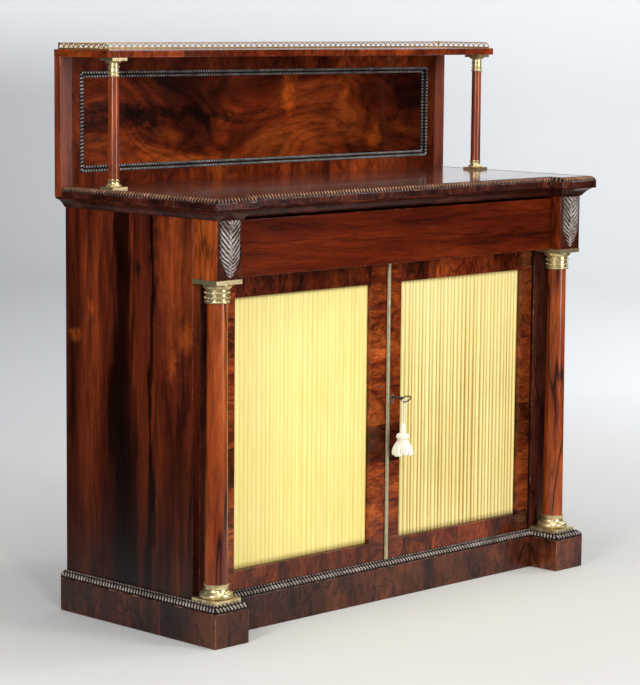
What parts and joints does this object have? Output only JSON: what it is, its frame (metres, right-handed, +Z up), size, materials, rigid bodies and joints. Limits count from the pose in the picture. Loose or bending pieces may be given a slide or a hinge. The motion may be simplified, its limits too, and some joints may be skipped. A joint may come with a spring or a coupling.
{
  "type": "chiffonier",
  "caption": "Breakfront chiffonier: silk-panelled cupboard doors between columns, a frieze drawer, and a raised back carrying a galleried shelf on small columns.",
  "frame": {"origin": "on the floor, at the middle of the overall width and depth", "axes": "+X to the right seen from the front, +Y to the back, +Z up"},
  "size_m": [1.183, 0.492, 1.198],
  "materials": {
    "rosewood_side": "glossy French polish",
    "rosewood_plinth": "glossy French polish",
    "carved_edge": "polished carving",
    "rosewood_stile": "glossy French polish",
    "rosewood_rail": "glossy French polish",
    "secondary_wood": "plain, unpolished",
    "rosewood_frieze": "glossy French polish",
    "carved_leaf": "polished carving",
    "rosewood_cornice": "glossy French polish",
    "rosewood_top": "glossy French polish",
    "rosewood_drawer_front": "glossy French polish",
    "rosewood_door_stiles": "glossy French polish",
    "rosewood_door_rails": "glossy French polish",
    "door_backing": "plain, unpolished",
    "silk_left": "pleated silk",
    "silk_right": "pleated silk",
    "rosewood_column": "glossy French polish",
    "gilt_brass": "lacquered gilt brass",
    "gallery_brass": "worn lacquered brass",
    "astragal_brass": "polished brass",
    "fitting_brass": "dull brass",
    "lock_steel": "dull steel",
    "key_steel": "dark steel",
    "plate_steel": "polished steel",
    "tassel_silk": "silk cord and bullion fringe",
    "rosewood_back_frame": "glossy French polish",
    "rosewood_figured": "glossy French polish, figured veneer",
    "ebonised": "polished black",
    "rosewood_shelf": "glossy French polish"
  },
  "bodies": {
    "carcase": {"back_frame": "rosewood_back_frame", "back_panel": "secondary_wood", "back_pilasters": "rosewood_back_frame", "bottom_board": "secondary_wood", "cornice_moulding": "rosewood_cornice", "cupboard_shelf": "secondary_wood", "door_pivots": "fitting_brass", "drawer_guides": "secondary_wood", "drawer_rail": "rosewood_rail", "dust_board": "secondary_wood", "front_stiles": "rosewood_stile", "gallery": "gallery_brass", "left_acanthus_leaf": "carved_leaf", "left_column_base": "gilt_brass", "left_column_capital": "gilt_brass", "left_column_shaft": "rosewood_column", "left_end_panel": "rosewood_side", "left_frieze_block": "rosewood_frieze", "panel_moulding": "ebonised", "plinth_blocks": "rosewood_plinth", "plinth_boards": "rosewood_plinth", "plinth_front_board": "rosewood_plinth", "plinth_moulding": "carved_edge", "raised_panel": "rosewood_figured", "raised_shelf": "rosewood_shelf", "right_acanthus_leaf": "carved_leaf", "right_column_base": "gilt_brass", "right_column_capital": "gilt_brass", "right_column_shaft": "rosewood_column", "right_end_panel": "rosewood_side", "right_frieze_block": "rosewood_frieze", "shelf_bearers": "secondary_wood", "small_column_bases": "gilt_brass", "small_column_capitals": "gilt_brass", "small_column_shafts": "rosewood_column", "table_top": "rosewood_top", "top_edge_moulding": "carved_edge", "top_rails": "secondary_wood"},
    "left_door": {"left_door_stiles": "rosewood_door_stiles", "left_door_rails": "rosewood_door_rails", "left_door_backing": "door_backing", "left_door_silk": "silk_left", "lock_keep": "fitting_brass", "door_bolt_keepers": "fitting_brass"},
    "right_door": {"right_door_stiles": "rosewood_door_stiles", "right_door_rails": "rosewood_door_rails", "right_door_backing": "door_backing", "right_door_silk": "silk_right", "door_astragal": "astragal_brass", "key_escutcheon": "plate_steel", "lock_case": "lock_steel"},
    "drawer": {"drawer_front": "rosewood_drawer_front", "drawer_sides": "secondary_wood", "drawer_bottom": "secondary_wood", "drawer_back": "secondary_wood"},
    "key": {"key": "key_steel"},
    "lock_bolt": {"lock_bolt": "fitting_brass"},
    "tassel": {"tassel_cord": "tassel_silk", "tassel": "tassel_silk"},
    "left_door_bolt": {"left_door_bolt": "fitting_brass"}
  },
  "joints": [
    {"name": "left_door_hinge", "type": "hinge", "parent": "carcase", "child": "left_door", "pos_m": [-0.478, -0.139, 0.411], "axis": [0, 0, -1], "range_deg": [0, 92], "deforming": ["tassel"]},
    {"name": "right_door_hinge", "type": "hinge", "parent": "carcase", "child": "right_door", "pos_m": [0.478, -0.139, 0.411], "axis": [0, 0, 1], "range_deg": [0, 92]},
    {"name": "drawer_slide", "type": "slide", "parent": "carcase", "child": "drawer", "axis": [0, -1, 0], "range_m": [0, 0.3]},
    {"name": "key_turn", "type": "hinge", "parent": "right_door", "child": "key", "pos_m": [0.0213, -0.165, 0.441], "axis": [0, 1, 0], "range_deg": [0, 90]},
    {"name": "lock_bolt_slide", "type": "slide", "parent": "right_door", "child": "lock_bolt", "axis": [-1, 0, 0], "range_m": [0, 0.0081]},
    {"name": "tassel_hang", "type": "hinge", "parent": "key", "child": "tassel", "pos_m": [0.01221, -0.191, 0.43575], "axis": [0, 1, 0], "range_deg": [-91, 0]},
    {"name": "left_bolt_slide", "type": "slide", "parent": "left_door", "child": "left_door_bolt", "axis": [0, 0, 1], "range_m": [0, 0.01]}
  ],
  "couplings": [
    {"joint": "lock_bolt_slide", "follows": "key_turn", "m_per_rad": 0.005093},
    {"joint": "tassel_hang", "follows": "key_turn", "ratio": -1}
  ]
}
